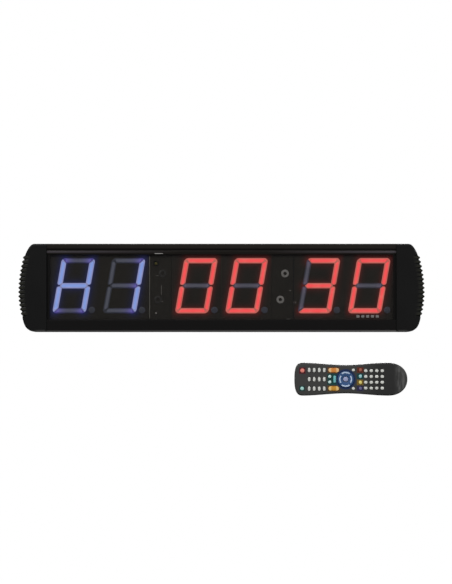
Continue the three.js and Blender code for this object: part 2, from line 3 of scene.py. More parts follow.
import bmesh
import bpy
import numpy as np
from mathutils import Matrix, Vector


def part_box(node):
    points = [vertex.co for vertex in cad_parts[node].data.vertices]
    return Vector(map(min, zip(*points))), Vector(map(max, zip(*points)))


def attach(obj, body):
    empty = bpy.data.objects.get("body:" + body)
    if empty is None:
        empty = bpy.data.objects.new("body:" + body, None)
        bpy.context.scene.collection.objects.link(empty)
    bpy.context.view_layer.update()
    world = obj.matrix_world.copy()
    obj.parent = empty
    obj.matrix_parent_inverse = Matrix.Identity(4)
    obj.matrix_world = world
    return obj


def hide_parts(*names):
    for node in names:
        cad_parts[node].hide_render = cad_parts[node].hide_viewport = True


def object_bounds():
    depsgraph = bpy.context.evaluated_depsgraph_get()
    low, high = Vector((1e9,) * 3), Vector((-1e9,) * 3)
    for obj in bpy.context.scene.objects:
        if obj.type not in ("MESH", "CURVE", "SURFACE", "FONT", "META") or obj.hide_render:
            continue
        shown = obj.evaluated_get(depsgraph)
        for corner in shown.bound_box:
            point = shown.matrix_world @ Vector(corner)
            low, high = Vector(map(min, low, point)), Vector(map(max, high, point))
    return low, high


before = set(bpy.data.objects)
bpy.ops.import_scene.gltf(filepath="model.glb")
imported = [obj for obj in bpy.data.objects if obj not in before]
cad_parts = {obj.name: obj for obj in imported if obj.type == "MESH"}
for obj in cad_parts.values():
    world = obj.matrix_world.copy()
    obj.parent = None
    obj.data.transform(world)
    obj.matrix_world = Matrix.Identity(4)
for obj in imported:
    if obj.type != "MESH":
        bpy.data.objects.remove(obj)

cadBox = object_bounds()
mm = 0.001


def middle(node):
    low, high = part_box(node)
    return (low + high) / 2


def corners(node):
    # a node's box in millimetres
    low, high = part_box(node)
    return low / mm, high / mm


# Camera: straight on and level, far enough away for the edges to stay parallel
shot = {"frameHeight": 1.0512, "sensor": 36, "distance": 6.0, "centreX": 8.1 * mm, "centreZ": -7.3 * mm}


def addCamera():
    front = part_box("end_cap_left")[0].y
    camera = bpy.data.objects.new("camera", bpy.data.cameras.new("camera"))
    camera.data.sensor_width = shot["sensor"]
    camera.data.lens = shot["sensor"] * shot["distance"] / shot["frameHeight"]
    camera.data.clip_end = 60
    camera.location = (shot["centreX"], front - shot["distance"], shot["centreZ"])
    camera.rotation_euler = (math.pi / 2, 0, 0)
    bpy.context.scene.collection.objects.link(camera)
    bpy.context.scene.camera = camera


addCamera()
print("camera done")


# A socket's number; sums on it add Math nodes
class Value:
    def __init__(self, look, socket):
        self.look = look
        self.socket = socket

    def sum(self, operation, *values):
        return self.look.node("ShaderNodeMath", {"operation": operation}, dict(enumerate(values)))

    def __add__(self, other):
        return self.sum("ADD", self, other)

    __radd__ = __add__

    def __sub__(self, other):
        return self.sum("SUBTRACT", self, other)

    def __rsub__(self, other):
        return self.sum("SUBTRACT", other, self)

    def __mul__(self, other):
        return self.sum("MULTIPLY", self, other)

    __rmul__ = __mul__

    def __truediv__(self, other):
        return self.sum("DIVIDE", self, other)

    def __pow__(self, other):
        return self.sum("POWER", self, other)

    def __abs__(self):
        return self.sum("ABSOLUTE", self)

    def above(self, edge, width):
        # 0 below edge, 1 above edge + width, smooth between
        settings = {"interpolation_type": "SMOOTHSTEP"}
        values = {"Value": self, "From Min": edge, "From Max": edge + width}
        return self.look.node("ShaderNodeMapRange", settings, values)

    def below(self, edge, width):
        return 1 - self.above(edge, width)

    def clamped(self):
        return self.look.node("ShaderNodeClamp", None, {"Value": self})


# A material: Principled, with any node added by node()
class Look:
    def __init__(self, name, metallic=0.0, roughness=0.5, specular=0.5, coat=0.0):
        self.material = bpy.data.materials.new(name)
        self.material.use_nodes = True
        self.tree = self.material.node_tree
        self.shader = self.tree.nodes["Principled BSDF"]
        self.shader.inputs["Metallic"].default_value = metallic
        self.shader.inputs["Roughness"].default_value = roughness
        self.shader.inputs["Specular IOR Level"].default_value = specular
        self.shader.inputs["Coat Weight"].default_value = coat
        self.place = self.tree.nodes.new("ShaderNodeTexCoord").outputs["Object"]

    def feed(self, socket, value):
        if isinstance(value, Value):
            self.tree.links.new(value.socket, socket)
        elif isinstance(value, bpy.types.NodeSocket):
            self.tree.links.new(value, socket)
        else:
            socket.default_value = value

    def node(self, kind, settings=None, inputs=None, output=0):
        made = self.tree.nodes.new(kind)
        for key, value in (settings or {}).items():
            setattr(made, key, value)
        for key, value in (inputs or {}).items():
            self.feed(made.inputs[key], value)
        return Value(self, made.outputs[output])

    def noise(self, scale, stretch=(1, 1, 1), detail=3.0, roughness=0.5):
        where = self.node("ShaderNodeMapping", None, {"Vector": self.place, "Scale": stretch})
        values = {"Vector": where, "Scale": scale, "Detail": detail, "Roughness": roughness}
        return self.node("ShaderNodeTexNoise", None, values)

    def axis(self, letter):
        return self.node("ShaderNodeSeparateXYZ", None, {"Vector": self.place}, "XYZ".index(letter))

    def mix(self, factor, first, second):
        # colours, first where factor is 0 and second where it is 1
        values = {"Factor": factor, 6: self.colour(first), 7: self.colour(second)}
        return self.node("ShaderNodeMix", {"data_type": "RGBA"}, values, 2)

    def colour(self, value):
        return (*value, 1) if isinstance(value, tuple) and len(value) == 3 else value

    def attribute(self, name):
        return self.node("ShaderNodeAttribute", {"attribute_name": name}, None, 2)

    def set(self, **sockets):
        names = {"base": "Base Color", "roughness": "Roughness", "alpha": "Alpha",
                 "emission": "Emission Color", "strength": "Emission Strength"}
        for key, value in sockets.items():
            self.feed(self.shader.inputs[names[key]], self.colour(value))
        return self

    def bump(self, height, strength=0.2, distance=0.0002):
        values = {"Height": height, "Strength": strength, "Distance": distance}
        self.feed(self.shader.inputs["Normal"], self.node("ShaderNodeBump", None, values))
        return self


def tint(red, green, blue):
    # a colour as a screen shows it, 0 to 255, turned to the linear values that a shader takes
    parts = np.array([red, green, blue]) / 255
    return tuple(float(v) for v in np.where(parts < 0.04045, parts / 12.92, ((parts + 0.055) / 1.055) ** 2.4))


def lighter(colour, share):
    return tuple(min(1.0, c * share) for c in colour)


# Finishes that several pieces share
def banded(look, base, bands):
    # each band of height in millimetres fades in between two values of X, or of |X| if neither is negative
    z = look.axis("Z") * 1000
    across = look.axis("X") * 1000
    for low, high, colour, fromX, toX in bands:
        x = across if fromX < 0 else abs(across)
        share = z.above(low, 0.6) * z.below(high - 0.6, 0.6)
        share = share * ((x - fromX) / (toX - fromX)).clamped() if toX > fromX else share
        base = look.mix(share, base, colour)
    return base


def mouldedPlastic(name, colour, roughness=0.5, grain=900, specular=0.3, depth=0.25):
    # a fine moulded grain, slow colour drift and a few rubbed, shinier patches
    look = Look(name, specular=specular)
    fine = look.noise(grain, detail=2)
    slow = look.noise(18, detail=3)
    look.set(base=look.mix(slow * 0.7 + fine * 0.3, lighter(colour, 0.82), lighter(colour, 1.22)))
    look.set(roughness=slow * 0.16 + fine * 0.08 + (roughness - 0.12))
    return look.bump(fine, depth, 0.00015)


def anodised(name, colour, roughness=0.42, bands=()):
    # draw lines run along X, as they do on an extruded rail; bands of painted highlight and shade are (low z,
    # high z, colour, from x, to x)
    look = Look(name, metallic=0.2, specular=0.2)
    lines = look.noise(60, (0.02, 22, 22), detail=4)
    grit = look.noise(1400, detail=1)
    base = look.mix(lines, lighter(colour, 0.78), lighter(colour, 1.25))
    look.set(base=banded(look, base, bands))
    look.set(roughness=lines * 0.14 + grit * 0.08 + (roughness - 0.1))
    return look.bump(lines * 0.7 + grit * 0.3, 0.18, 0.00012)


def smokedAcrylic(name, colour, alpha, clearX):
    # polished and see-through, with a faint haze of handling and a black border printed at both ends
    look = Look(name, roughness=0.06, specular=0.12)
    haze = look.noise(7, (1, 1, 2), detail=5, roughness=0.6)
    border = (look.axis("X") ** 2).above(clearX ** 2, 0.0002)
    clear = look.mix(haze, lighter(colour, 0.85), lighter(colour, 1.15))
    look.set(base=look.mix(border, clear, tint(17, 17, 16)))
    look.set(roughness=haze * 0.08 + border * 0.5 + 0.03, alpha=haze * 0.05 + border * 0.8 + (alpha - 0.025))
    return look


def siliconeRubber(name, colour, roughness=0.5):
    # silky: a soft powdery grain over a slow drift of tone
    look = Look(name, specular=0.35)
    powder = look.noise(1500, detail=2)
    drift = look.noise(140, detail=2)
    look.set(base=look.mix(drift * 0.6 + powder * 0.4, lighter(colour, 0.88), lighter(colour, 1.08)))
    look.set(roughness=powder * 0.15 + (roughness - 0.08))
    return look.bump(powder, 0.2, 0.0001)


def brushedMetal(name, colour, roughness=0.3):
    # fine scratches along X and Z, with duller spots
    look = Look(name, metallic=1.0)
    scratches = look.noise(300, (1, 14, 1), detail=4)
    spots = look.noise(160, detail=3)
    look.set(base=look.mix(spots, lighter(colour, 0.8), lighter(colour, 1.12)))
    look.set(roughness=scratches * 0.2 + (roughness - 0.08))
    return look.bump(scratches, 0.12, 0.00008)


def circuitBoard(name):
    # green solder mask with paler tracks in a squared pattern under it
    look = Look(name, specular=0.45)
    place = look.node("ShaderNodeMapping", None, {"Vector": look.place, "Rotation": (math.pi / 2, 0, 0)})
    brick = look.node("ShaderNodeTexBrick", None, {
        "Vector": place, "Scale": 90.0, "Mortar Size": 0.06, "Color1": (0, 0, 0, 1), "Color2": (0, 0, 0, 1),
        "Mortar": (1, 1, 1, 1)}, 1)
    cloud = look.noise(120)
    mask = look.mix(cloud, (0.006, 0.058, 0.02), (0.012, 0.105, 0.036))
    look.set(base=look.mix(brick * 0.75, mask, (0.03, 0.2, 0.075)), roughness=cloud * 0.15 + 0.28)
    return look.bump(brick, 0.3, 0.0001)


# Meshes worked out with numpy
def pairFaces(first, second):
    # quads between two rows of vertex numbers
    return np.stack([first[:-1], first[1:], second[1:], second[:-1]], -1)


def gridFaces(numbers):
    # quads over a grid of vertex numbers
    corners = [numbers[:-1, :-1], numbers[:-1, 1:], numbers[1:, 1:], numbers[1:, :-1]]
    return np.stack(corners, -1).reshape(-1, 4)


def volumeOf(points, quads, triangles):
    parts = [quads[:, [0, 1, 2]], quads[:, [0, 2, 3]], triangles]
    a, b, c = np.moveaxis(points[np.concatenate(parts)], 1, 0)
    return np.einsum("ij,ij->i", a, np.cross(b, c)).sum() / 6


def meshPiece(name, points, quads, triangles=None, smooth=38, marks=None):
    # points in millimetres; marks are numbers for each point, kept as attributes
    points = np.asarray(points, float).reshape(-1, 3) * mm
    triangles = np.zeros((0, 3), int) if triangles is None else triangles
    if volumeOf(points, quads, triangles) < 0:
        quads, triangles = quads[:, ::-1], triangles[:, ::-1]
    mesh = bpy.data.meshes.new(name)
    mesh.from_pydata(points.tolist(), [], quads.tolist() + triangles.tolist())
    mesh.polygons.foreach_set("use_smooth", np.ones(len(mesh.polygons), bool))
    mesh.set_sharp_from_angle(angle=math.radians(smooth))
    for key, values in (marks or {}).items():
        attribute = mesh.attributes.new(key, "FLOAT", "POINT")
        attribute.data.foreach_set("value", np.asarray(values, np.float32).ravel())
    mesh.update()
    piece = bpy.data.objects.new(name, mesh)
    bpy.context.scene.collection.objects.link(piece)
    return piece


def slab(name, front, back, smooth=38, marks=None):
    # two grids of points with the same rows and columns, joined round their rims
    rows, columns = front.shape[:2]
    top = np.arange(rows * columns).reshape(rows, columns)
    under = top + rows * columns
    rims = [(top[0], under[0]), (under[-1], top[-1]), (under[:, 0], top[:, 0]), (top[:, -1], under[:, -1])]
    quads = [gridFaces(top)[:, ::-1], gridFaces(under)] + [pairFaces(a, b) for a, b in rims]
    both = {key: np.concatenate([value.ravel(), 0 * value.ravel()]) for key, value in (marks or {}).items()}
    points = np.concatenate([front.reshape(-1, 3), back.reshape(-1, 3)])
    return meshPiece(name, points, np.concatenate(quads), None, smooth, both)


def stack(name, rings, smooth=38):
    # closed rings of points, one above another, with a pole at each end
    rings = np.asarray(rings, float)
    count, around = rings.shape[:2]
    numbers = np.arange(count * around).reshape(count, around)
    closed = np.concatenate([numbers, numbers[:, :1]], 1)
    first, last = count * around, count * around + 1
    low = np.stack([closed[0, 1:], closed[0, :-1], np.full(around, first)], -1)
    high = np.stack([closed[-1, :-1], closed[-1, 1:], np.full(around, last)], -1)
    points = np.concatenate([rings.reshape(-1, 3), rings[:1].mean(1), rings[-1:].mean(1)])
    return meshPiece(name, points, gridFaces(closed), np.concatenate([low, high]), smooth)


def turned(name, profile, x, z, around=48):
    # a profile of [radius, y] points turned about a line along Y; open ends meet the line
    radius, y = np.array(profile, float).T
    angle = np.linspace(0, 2 * np.pi, around, endpoint=False)
    rings = np.stack([x + radius[:, None] * np.cos(angle), y[:, None] + 0 * angle,
                      z + radius[:, None] * np.sin(angle)], -1)
    if np.allclose(profile[0], profile[-1]):
        numbers = np.arange(len(rings[:-1]) * around).reshape(-1, around)
        numbers = np.concatenate([numbers, numbers[:1]])
        numbers = np.concatenate([numbers, numbers[:, :1]], 1)
        return meshPiece(name, rings[:-1], gridFaces(numbers))
    return stack(name, rings)


def roundedLoop(width, height, radius, corner=9):
    # four quarter arcs, each the corner's centre plus the radius along the turning direction
    angle = np.linspace(0, np.pi / 2, corner)
    angle = np.concatenate([angle + quarter * np.pi / 2 for quarter in range(4)])
    sideX = np.repeat([1, -1, -1, 1], corner) * (width / 2 - radius)
    sideZ = np.repeat([1, 1, -1, -1], corner) * (height / 2 - radius)
    return np.stack([sideX + radius * np.cos(angle), sideZ + radius * np.sin(angle)], -1)


def atY(loop, y, x=0.0, z=0.0):
    # a flat loop of [x, z] points set at a depth
    return np.stack([loop[:, 0] + x, np.full(len(loop), float(y)), loop[:, 1] + z], -1)


def pillow(name, width, height, radius, x, z, frontY, backY, edge=0.7, crown=0.4, corner=9):
    # a key or pad: straight sides, a rounded edge, then a top that rises as crown * (1 - share ** 2)
    loops = [atY(roundedLoop(width, height, radius, corner), backY, x, z)]
    for turn in np.linspace(0, np.pi / 2, 5):
        inset = edge * (1 - np.cos(turn))
        loop = roundedLoop(width - 2 * inset, height - 2 * inset, max(radius - inset, 0.05), corner)
        loops.append(atY(loop, frontY + crown + edge * (1 - np.sin(turn)), x, z))
    for share in (0.86, 0.66, 0.42, 0.18):
        loops.append(atY(loop * share, frontY + crown * share ** 2, x, z))
    return stack(name, loops)


def boxLoop(x0, x1, y0, y1, z0, z1):
    loop = np.array([[x0, z0], [x1, z0], [x1, z1], [x0, z1]], float)
    return [atY(loop, y0), atY(loop, y1)]


def cut(piece, cutters, operation="DIFFERENCE"):
    # booleans one after another, made final, with the cutters removed
    for cutter in cutters:
        step = piece.modifiers.new("cut", "BOOLEAN")
        step.operation = operation
        step.solver = "EXACT"
        step.object = cutter
    graph = bpy.context.evaluated_depsgraph_get()
    graph.update()
    mesh = bpy.data.meshes.new_from_object(piece.evaluated_get(graph))
    piece.modifiers.clear()
    old = piece.data
    piece.data = mesh
    bpy.data.meshes.remove(old)
    for cutter in cutters:
        bpy.data.objects.remove(cutter)
    mesh.polygons.foreach_set("use_smooth", np.ones(len(mesh.polygons), bool))
    mesh.set_sharp_from_angle(angle=math.radians(32))
    return piece


def softened(node, width, segments=2, angle=40):
    # a copy of a CAD node with its doubles merged, flat triangles joined and sharp edges rounded
    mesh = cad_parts[node].data.copy()
    work = bmesh.new()
    work.from_mesh(mesh)
    bmesh.ops.remove_doubles(work, verts=work.verts, dist=0.000002)
    bmesh.ops.dissolve_limit(work, angle_limit=math.radians(0.6), verts=work.verts, edges=work.edges)
    work.to_mesh(mesh)
    work.free()
    mesh.polygons.foreach_set("use_smooth", np.ones(len(mesh.polygons), bool))
    mesh.set_sharp_from_angle(angle=math.radians(angle))
    piece = bpy.data.objects.new(node + "_finished", mesh)
    bpy.context.scene.collection.objects.link(piece)
    bevel = piece.modifiers.new("edges", "BEVEL")
    bevel.width = width * mm
    bevel.segments = segments
    bevel.limit_method = "ANGLE"
    bevel.angle_limit = math.radians(angle)
    bevel.harden_normals = True
    return piece


def fit(piece, body, slotName, look, *replaced):
    piece.data.materials.clear()
    piece.data.materials.append(look.material)
    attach(piece, body)
    if replaced:
        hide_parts(*replaced)
    return piece


def paint(node, look):
    # the finish of a CAD node that keeps its own mesh
    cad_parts[node].material_slots[0].material = look.material


# Timer housing: rails, rear panel, lens and end caps. A band is low z, high z, colour, from x, to x
# top rail: a painted shade line in the groove, then a painted highlight on the chamfer below it that fades
# out towards the middle
topShadeAndHighlightBands = [(67.2, 71.6, tint(14, 12, 11), 0, 0), (62.8, 67.0, tint(80, 75, 80), 80, 300)]
# bottom rail: a painted reflection along the lip's lower edge, brighter towards the right
bottomReflectionBands = [(-80, -75.6, tint(84, 83, 83), 0, 0), (-80, -75.6, tint(130, 128, 128), -260, 360)]
# the bottom rail's darker black is painted shade, a shaded copy of the top rail's finish
rails = {"top_rail": anodised("black anodised top rail with painted shade and highlight", tint(33, 30, 27), 0.42, topShadeAndHighlightBands),
         "bottom_rail": anodised("black anodised bottom rail", tint(14, 13, 13), 0.42, bottomReflectionBands)}
blackSheet = anodised("black anodised sheet", tint(46, 45, 45), 0.5)
lensAcrylic = smokedAcrylic("smoked acrylic", tint(22, 22, 24), 0.32, 0.3095)

for railNode in ("top_rail", "bottom_rail"):
    fit(softened(railNode, 0.35, 3), "timer", "black_aluminium", rails[railNode], railNode)
fit(softened("rear_panel", 0.3), "timer", "black_aluminium", blackSheet, "rear_panel")
fit(softened("front_lens", 0.15, 2), "timer", "smoked_lens", lensAcrylic, "front_lens")

# Ribs run round the side and narrow to points on the front; steps are the grid's spacing in mm
endCap = {"ribs": 14, "pitch": 7.8, "firstRib": 55, "ribHeight": 3.0, "wrap": 9.5, "valley": 1.9,
          "edge": 3.2, "rowStep": 0.55, "columns": 46, "bulgeZ": -8, "fallAbove": 0.00219,
          "fallBelow": 0.0031, "flatEnd": 3.4, "slopeStart": 4.8, "slopeDepth": 5.8}
screwWell = {"z": 73.3, "y": -29, "radius": 4.2, "bore": 1.8, "floor": 5.7}


def capSideX(z, top, widest):
    # the barrel: a parabola about bulgeZ, carried into the corners by smooth curves
    fall = np.where(z > endCap["bulgeZ"], endCap["fallAbove"], endCap["fallBelow"])
    barrel = widest - endCap["ribHeight"] - fall * (z - endCap["bulgeZ"]) ** 2
    upperZ = [50, 57, 62, 67, 71, 74.5, 77, 78.6, top]
    upperX = [355.6, 354.2, 352.6, 350.2, 348.0, 345.6, 343.2, 340.8, 337.0]
    lowerZ = [-top, -79, -78, -76.4, -74, -70.5, -66, -60, -54, -48]
    lowerX = [334, 337.6, 342, 346, 349.6, 352.8, 355.2, 357.2, 358.6, 358.1]
    upper = np.interp(z, upperZ, upperX)
    lower = np.interp(z, lowerZ, lowerX)
    side = np.where(z > 50, upper, np.where(z < -48, lower, barrel))
    window = np.hanning(15)[1:-1]
    smooth = np.convolve(np.pad(side, 6, mode="edge"), window / window.sum(), "valid")
    return np.where(abs(z) > top - endCap["flatEnd"], side, smooth)


def ribWave(z):
    # 1 on a rib's crest and 0 in the valley, only along the ribbed stretch
    last = endCap["firstRib"] - (endCap["ribs"] - 1) * endCap["pitch"]
    wave = 0.5 + 0.5 * np.cos(2 * np.pi * (z - endCap["firstRib"]) / endCap["pitch"])
    reach = endCap["pitch"] * 0.5
    inside = (z < endCap["firstRib"] + reach) & (z > last - reach)
    return np.where(inside, wave ** 0.8, 0.0), inside


def endCapPiece(side):
    node = "end_cap_right" if side > 0 else "end_cap_left"
    low, high = corners(node)
    seam = min(abs(low.x), abs(high.x))
    widest, top = max(abs(low.x), abs(high.x)), high.z
    z = np.linspace(-top, top, int(2 * top / endCap["rowStep"]))
    wave, ribbed = ribWave(z)
    outer = capSideX(z, top, widest) + endCap["ribHeight"] * wave
    share = 1 - (1 - np.linspace(0, 1, endCap["columns"])) ** 2.2
    x = seam + share[None, :] * (outer - seam)[:, None]
    # distance in from the rim, which shapes the rounded edge
    slope = np.gradient(outer - endCap["ribHeight"] * wave, z)
    fromSide = (outer[:, None] - x) / np.sqrt(1 + slope[:, None] ** 2)
    rim = np.minimum(fromSide, (top - abs(z))[:, None] + 0 * x)
    inEdge = np.clip(1 - rim / endCap["edge"], 0, 1)
    y = low.y + endCap["edge"] * (1 - np.sqrt(1 - inEdge ** 2))
    # between the ribs the front falls back, in a notch that closes to a point further in
    notch = np.clip((1 - wave[:, None]) - fromSide / endCap["wrap"], 0, 1) * ribbed[:, None]
    y = y + endCap["valley"] * notch
    # the foot slopes back under the front
    sloped = np.clip(-top + endCap["slopeStart"] - z, 0, None) * endCap["slopeDepth"] / endCap["slopeStart"]
    y = np.maximum(y, low.y + sloped[:, None])
    front = np.stack([side * x, y, z[:, None] + 0 * x], -1)
    back = front.copy()
    back[..., 1] = high.y
    # marks for painted light: a highlight on the ribs' crests and shade in the valleys, strongest near the
    # rim
    nearRim = np.clip(1 - fromSide / (endCap["wrap"] + 3), 0, 1)
    marks = {"crest_highlight": nearRim ** 0.7 * (wave ** 2)[:, None],
             "valley": nearRim ** 0.5 * ((1 - wave) ** 2 * ribbed)[:, None]}
    piece = slab(node + "_moulding", front, back, 30, marks)
    floor, bore, wide = seam + screwWell["floor"], screwWell["bore"], screwWell["radius"]
    profile = [[0, seam - 1], [bore, seam - 1], [bore, floor], [wide, floor], [wide, widest + 2],
               [0, widest + 2]]
    wells = [turnedX("well", profile, side, screwWell["y"], level * screwWell["z"]) for level in (1, -1)]
    return cut(piece, wells)


def turnedX(name, profile, side, y, z, around=28):
    # a profile of [radius, x] points turned about a line along X
    radius, x = np.array(profile, float).T
    radius = np.maximum(radius, 0.001)
    angle = np.linspace(0, 2 * np.pi, around, endpoint=False)
    rings = np.stack([side * x[:, None] + 0 * angle, y + radius[:, None] * np.cos(angle),
                      z + radius[:, None] * np.sin(angle)], -1)
    return stack(name, rings)


def paintedLightCapLook():
    # black grain, with a painted highlight on the ribs' crests and painted shade between them, and a painted
    # reflection in a band along the lip at the foot
    look = Look("black cap plastic with painted light", specular=0.18)
    fine = look.noise(700, detail=2)
    slow = look.noise(18, detail=3)
    black = tint(13, 13, 13)
    base = look.mix(slow * 0.7 + fine * 0.3, lighter(black, 0.82), lighter(black, 1.22))
    # painted shade in the valleys, then a painted highlight on the crests
    base = look.mix(look.attribute("valley") * 0.85, base, tint(4, 4, 3))
    base = look.mix(look.attribute("crest_highlight") * (fine * 0.6 + 0.25), base, tint(62, 62, 50))
    # a painted reflection along the lip at the foot, brighter over part of its length
    x = abs(look.axis("X")) * 1000
    lipReflection = (look.axis("Z") * 1000).below(-75.9, 0.9) * x.below(345, 12)
    base = look.mix(lipReflection * (x.above(316, 4) * x.below(331, 6) * 0.6 + 0.4), base, tint(98, 97, 97))
    look.set(base=base, roughness=slow * 0.16 + fine * 0.08 + 0.38)
    return look.bump(fine, 0.25, 0.00015)


capPlasticWithPaintedLight = paintedLightCapLook()
fit(endCapPiece(-1), "timer", "black_plastic", capPlasticWithPaintedLight, "end_cap_left")
fit(endCapPiece(1), "timer", "black_plastic", capPlasticWithPaintedLight, "end_cap_right")

# A thin sheet of rubber closes the joint between the rails and each cap, and a foam strip shuts the gap
# behind the lens's end
gasket = {"inner": 315.04, "outer": 315.26, "inset": 0.35, "radius": 0.8}
foam = {"x": 313.3, "z": 1.5, "width": 3.4, "height": 116.6, "frontY": -36.4, "backY": -35.0}
gasketRubber = siliconeRubber("black gasket rubber", tint(14, 14, 14))
railLow, railHigh = corners("bottom_rail")[0], corners("top_rail")[1]
gasketSize = [railHigh[i] - railLow[i] - 2 * gasket["inset"] for i in (1, 2)]
gasketMiddle = [(railHigh[i] + railLow[i]) / 2 for i in (1, 2)]
outline = roundedLoop(*gasketSize, gasket["radius"], 5) + gasketMiddle
for sideName, side in (("left", -1), ("right", 1)):
    ends = side * gasket["inner"], side * gasket["outer"]
    rings = [np.column_stack([np.full(len(outline), x), outline]) for x in ends]
    fit(stack("end_gasket_" + sideName, rings), "timer", "black_plastic", gasketRubber)
    strip = pillow("lens_foam_" + sideName, foam["width"], foam["height"], 0.5, side * foam["x"], foam["z"],
                   foam["frontY"], foam["backY"], 0.2, 0.05, 5)
    fit(strip, "timer", "black_plastic", gasketRubber)
print("housing done")


# Displays: printed faces with the light's halo, segments, dots, colon rings and lamps
digit = {"height": 99.6, "width": 60.4, "slant": 0.177, "stroke": 9.4, "gap": 0.32, "rise": 2.6,
         "corner": 7.8, "foot": 3.6, "footGap": 1.35, "standOff": 0.55, "root": 1.3, "dome": 0.5,
         "dotX": 32.3, "dotZ": -41.3, "dotRadius": 6.0, "spillReach": 7.0, "faceStep": 1.4}
blueOn = {"slot": "blue_light", "middle": tint(130, 153, 218), "edge": tint(172, 177, 230),
          "halo": tint(13, 28, 90), "spill": tint(78, 62, 168), "reach": 4.2}
redOn = {"slot": "red_light", "middle": tint(246, 84, 86), "edge": tint(232, 126, 114),
         "halo": tint(92, 6, 8), "spill": tint(70, 40, 62), "reach": 3.5}
shown = [("bcefg", blueOn), ("bc", blueOn), ("abcdef", redOn), ("abcdef", redOn), ("abcdg", redOn),
         ("abcdef", redOn)]


def litResin(name, light):
    # brightest and purest along the middle, milkier towards the edges
    look = Look(name, roughness=0.35, specular=0.15)
    cells = look.noise(420, detail=2)
    drift = look.noise(70, detail=2)
    core = (look.attribute("core") + (drift - 0.5) * 0.9).above(0.3, 0.65)
    look.set(base=look.mix(cells, lighter(light["middle"], 0.1), lighter(light["middle"], 0.16)))
    look.set(emission=look.mix(core, light["edge"], light["middle"]), strength=1.36)
    return look


def unlitResin(name, light):
    # frosted resin with a painted glow: emission that stands in for light spilling over from its lit
    # neighbours
    look = Look(name, roughness=0.4, specular=0.2)
    cells = look.noise(300, detail=3)
    look.set(base=look.mix(cells, tint(102, 106, 120), tint(126, 129, 143)), roughness=cells * 0.2 + 0.3)
    look.set(emission=look.mix(look.attribute("spill"), (0, 0, 0), light["spill"]), strength=1.0)
    return look


def printedFace(name, light):
    # matt black print; the halo round lit segments falls off with the glow attribute
    look = Look(name, roughness=0.75, specular=0.12)
    grain = look.noise(500, detail=3)
    cloud = look.noise(30, detail=2)
    look.set(base=look.mix(grain * 0.5 + cloud * 0.5, tint(58, 55, 50), tint(84, 80, 72)))
    look.set(emission=look.mix(look.attribute("glow"), (0, 0, 0), light["halo"]), strength=1.1)
    look.set(roughness=grain * 0.15 + 0.65)
    return look.bump(grain, 0.15, 0.0001)


def segmentLines():
    # each segment's middle line, before the slant: letter: (runs along x, start, end, the other coordinate)
    w = (digit["width"] - digit["stroke"]) / 2
    h = (digit["height"] - digit["stroke"]) / 2
    return {"a": (True, -w, w, h), "d": (True, -w, w, -h), "g": (True, -w, w, 0.0), "f": (False, 0.0, h, -w),
            "b": (False, 0.0, h, w), "e": (False, -h, 0.0, -w), "c": (False, -h, 0.0, w)}


def segmentGlow(x, z, letters, reach):
    # how much light gets to a point: falls off with the distance to the nearest lit segment
    x = x - digit["slant"] * z
    nearest = np.full(np.shape(x), 1e3)
    for letter in letters:
        alongX, start, end, other = segmentLines()[letter]
        along, across = (x, z - other) if alongX else (z, x - other)
        past = np.maximum(np.maximum(start - along, along - end), 0)
        nearest = np.minimum(nearest, np.hypot(past, across) - digit["stroke"] / 2)
    return np.exp(-np.maximum(nearest, 0) / reach)


def segmentEdges(letter):
    # positions along the segment, and its two edges measured from the middle line; the outer edge
    # ends in an arc that the mitre cuts where their heights meet
    s, r = digit["stroke"] / 2, digit["corner"]
    mitre = digit["gap"] / math.sqrt(2)
    alongX, start, end, other = segmentLines()[letter]
    if letter == "g":
        tip = end - mitre
        t = np.unique(np.concatenate([np.linspace(-tip, tip, 40), [s - tip, tip - s]]))
        half = np.clip(tip - abs(t), 0.08, s)
        return t, -half, half
    arcStart = end + s - r if alongX else end - start + s - r
    tip = arcStart + (math.sqrt(2 * r * r - mitre * mitre) - mitre) / 2
    middle = arcStart + r - s
    bend = np.linspace(arcStart, tip, 9)
    if alongX:
        t = np.concatenate([-bend, bend, np.linspace(-arcStart, arcStart, 30)])
    else:
        rounded = digit["foot"] * (1 - np.cos(np.linspace(0, np.pi / 2, 7)))
        straight = np.linspace(digit["footGap"] + digit["foot"], arcStart, 20)
        t = np.concatenate([digit["footGap"] + rounded, bend, straight])
    t = np.unique(np.round(np.append(t, middle - s - mitre), 4))
    far = abs(t)
    outer = s - r + np.sqrt(np.maximum(r * r - np.clip(far - arcStart, 0, r) ** 2, 0))
    inner = np.maximum(-s, far - middle + mitre)
    if not alongX:
        short = np.clip(digit["footGap"] + digit["foot"] - t, 0, digit["foot"])
        outer = outer - digit["foot"] + np.sqrt(digit["foot"] ** 2 - short ** 2)
        inner = np.maximum(inner, mitre - t)
    return t, np.minimum(inner, outer - 0.1), outer


def segmentGrid(letter, columns=9):
    t, inner, outer = segmentEdges(letter)
    v = np.sin(np.linspace(-np.pi / 2, np.pi / 2, columns))
    share = (v + 1) / 2
    offset = inner[:, None] * (1 - share) + outer[:, None] * share
    along = t[:, None] + 0 * offset
    other = segmentLines()[letter][3]
    if letter in "adg":
        x, z = along, other + offset * (-1 if letter == "d" else 1)
    else:
        x = other + offset * (1 if other > 0 else -1)
        z = along * (1 if letter in "bf" else -1)
    core = (1 - v[None, :] ** 2) * np.clip((outer - inner) / digit["stroke"], 0, 1)[:, None]
    return x + digit["slant"] * z, z, core


def segmentPiece(name, letter, centreX, centreZ, frontY, backY, lit):
    x, z, core = segmentGrid(letter)
    front = np.stack([centreX + x, frontY - digit["dome"] * core, centreZ + z], -1)
    back = front.copy()
    back[..., 1] = backY
    return slab(name, front, back, 40, {"core": core, "spill": segmentGlow(x, z, lit, digit["spillReach"])})


